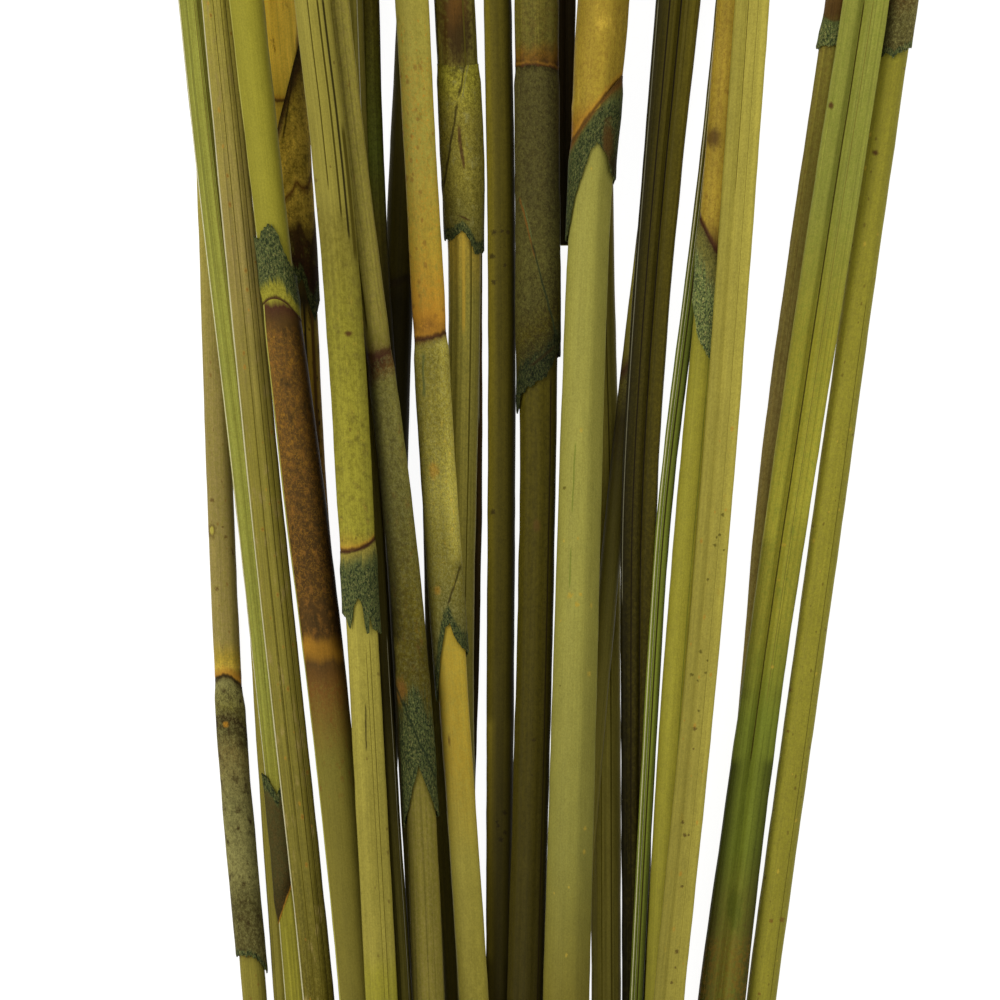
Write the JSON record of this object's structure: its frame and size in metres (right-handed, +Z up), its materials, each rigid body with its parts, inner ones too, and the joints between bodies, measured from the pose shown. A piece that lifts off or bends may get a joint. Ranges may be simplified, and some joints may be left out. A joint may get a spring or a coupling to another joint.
{
  "type": "bunch of reeds",
  "caption": "Loose bunch of cut reeds laid flat: long stems and folded leaves of uneven width, some with torn leaf sheaths at their nodes.",
  "frame": {"origin": "middle of the bunch, on the surface it lies on", "axes": "+Y along the stems, from the narrow foot to the spread top, +X across the bunch, +Z up from the surface"},
  "size_m": [0.2336, 0.6026, 0.0321],
  "materials": {
    "reed_01_sheath": "matt, velvety and mottled leaf sheath",
    "reed_01_stem": "satin, smooth skin of a fresh or drying reed stem",
    "reed_02_sheath": "matt, velvety and mottled leaf sheath",
    "reed_02_stem": "satin, smooth skin of a fresh or drying reed stem",
    "reed_03_stem": "satin, smooth skin of a fresh or drying reed stem",
    "reed_04_stem": "satin, smooth skin of a fresh or drying reed stem",
    "reed_05_sheath": "matt, velvety and mottled leaf sheath",
    "reed_05_stem": "satin, smooth skin of a fresh or drying reed stem",
    "reed_06_sheath": "matt, velvety and mottled leaf sheath",
    "reed_06_stem": "satin, smooth skin of a fresh or drying reed stem",
    "reed_07_sheath": "matt, velvety and mottled leaf sheath",
    "reed_07_stem": "satin, smooth skin of a fresh or drying reed stem",
    "reed_08_stem": "satin, smooth skin of a fresh or drying reed stem",
    "reed_09_stem": "satin, smooth skin of a fresh or drying reed stem",
    "reed_10_stem": "satin, smooth skin of a fresh or drying reed stem",
    "reed_11_stem": "satin, smooth skin of a fresh or drying reed stem",
    "reed_12_sheath": "matt, velvety and mottled leaf sheath",
    "reed_12_stem": "satin, smooth skin of a fresh or drying reed stem",
    "reed_13_stem": "satin, smooth skin of a fresh or drying reed stem",
    "reed_14_sheath": "matt, velvety and mottled leaf sheath",
    "reed_14_stem": "satin, smooth skin of a fresh or drying reed stem",
    "reed_15_sheath": "matt, velvety and mottled leaf sheath",
    "reed_15_stem": "satin, smooth skin of a fresh or drying reed stem",
    "reed_16_leaf": "satin, lengthwise veined leaf",
    "reed_17_stem": "satin, smooth skin of a fresh or drying reed stem",
    "reed_18_sheath": "matt, velvety and mottled leaf sheath",
    "reed_18_stem": "satin, smooth skin of a fresh or drying reed stem",
    "reed_19_leaf": "satin, lengthwise veined leaf",
    "reed_20_sheath": "matt, velvety and mottled leaf sheath",
    "reed_20_stem": "satin, smooth skin of a fresh or drying reed stem",
    "reed_21_stem": "satin, smooth skin of a fresh or drying reed stem",
    "reed_22_stem": "satin, smooth skin of a fresh or drying reed stem",
    "reed_23_leaf": "satin, lengthwise veined leaf",
    "reed_24_leaf": "satin, lengthwise veined leaf",
    "reed_25_sheath": "matt, velvety and mottled leaf sheath",
    "reed_25_stem": "satin, smooth skin of a fresh or drying reed stem",
    "reed_26_leaf": "satin, lengthwise veined leaf",
    "reed_27_sheath": "matt, velvety and mottled leaf sheath",
    "reed_27_stem": "satin, smooth skin of a fresh or drying reed stem",
    "reed_28_leaf": "satin, lengthwise veined leaf",
    "reed_29_sheath": "matt, velvety and mottled leaf sheath",
    "reed_29_stem": "satin, smooth skin of a fresh or drying reed stem"
  },
  "bodies": {
    "root": {"reed_01_sheath": "reed_01_sheath", "reed_01_stem": "reed_01_stem", "reed_02_sheath": "reed_02_sheath", "reed_02_stem": "reed_02_stem", "reed_03_stem": "reed_03_stem", "reed_04_stem": "reed_04_stem", "reed_05_sheath": "reed_05_sheath", "reed_05_stem": "reed_05_stem", "reed_06_sheath": "reed_06_sheath", "reed_06_stem": "reed_06_stem", "reed_07_sheath": "reed_07_sheath", "reed_07_stem": "reed_07_stem", "reed_08_stem": "reed_08_stem", "reed_09_stem": "reed_09_stem", "reed_10_stem": "reed_10_stem", "reed_11_stem": "reed_11_stem", "reed_12_sheath": "reed_12_sheath", "reed_12_stem": "reed_12_stem", "reed_13_stem": "reed_13_stem", "reed_14_sheath": "reed_14_sheath", "reed_14_stem": "reed_14_stem", "reed_15_sheath": "reed_15_sheath", "reed_15_stem": "reed_15_stem", "reed_16_leaf": "reed_16_leaf", "reed_17_stem": "reed_17_stem", "reed_18_sheath": "reed_18_sheath", "reed_18_stem": "reed_18_stem", "reed_19_leaf": "reed_19_leaf", "reed_20_sheath": "reed_20_sheath", "reed_20_stem": "reed_20_stem", "reed_21_stem": "reed_21_stem", "reed_22_stem": "reed_22_stem", "reed_23_leaf": "reed_23_leaf", "reed_24_leaf": "reed_24_leaf", "reed_25_sheath": "reed_25_sheath", "reed_25_stem": "reed_25_stem", "reed_26_leaf": "reed_26_leaf", "reed_27_sheath": "reed_27_sheath", "reed_27_stem": "reed_27_stem", "reed_28_leaf": "reed_28_leaf", "reed_29_sheath": "reed_29_sheath", "reed_29_stem": "reed_29_stem"}
  },
  "joints": []
}
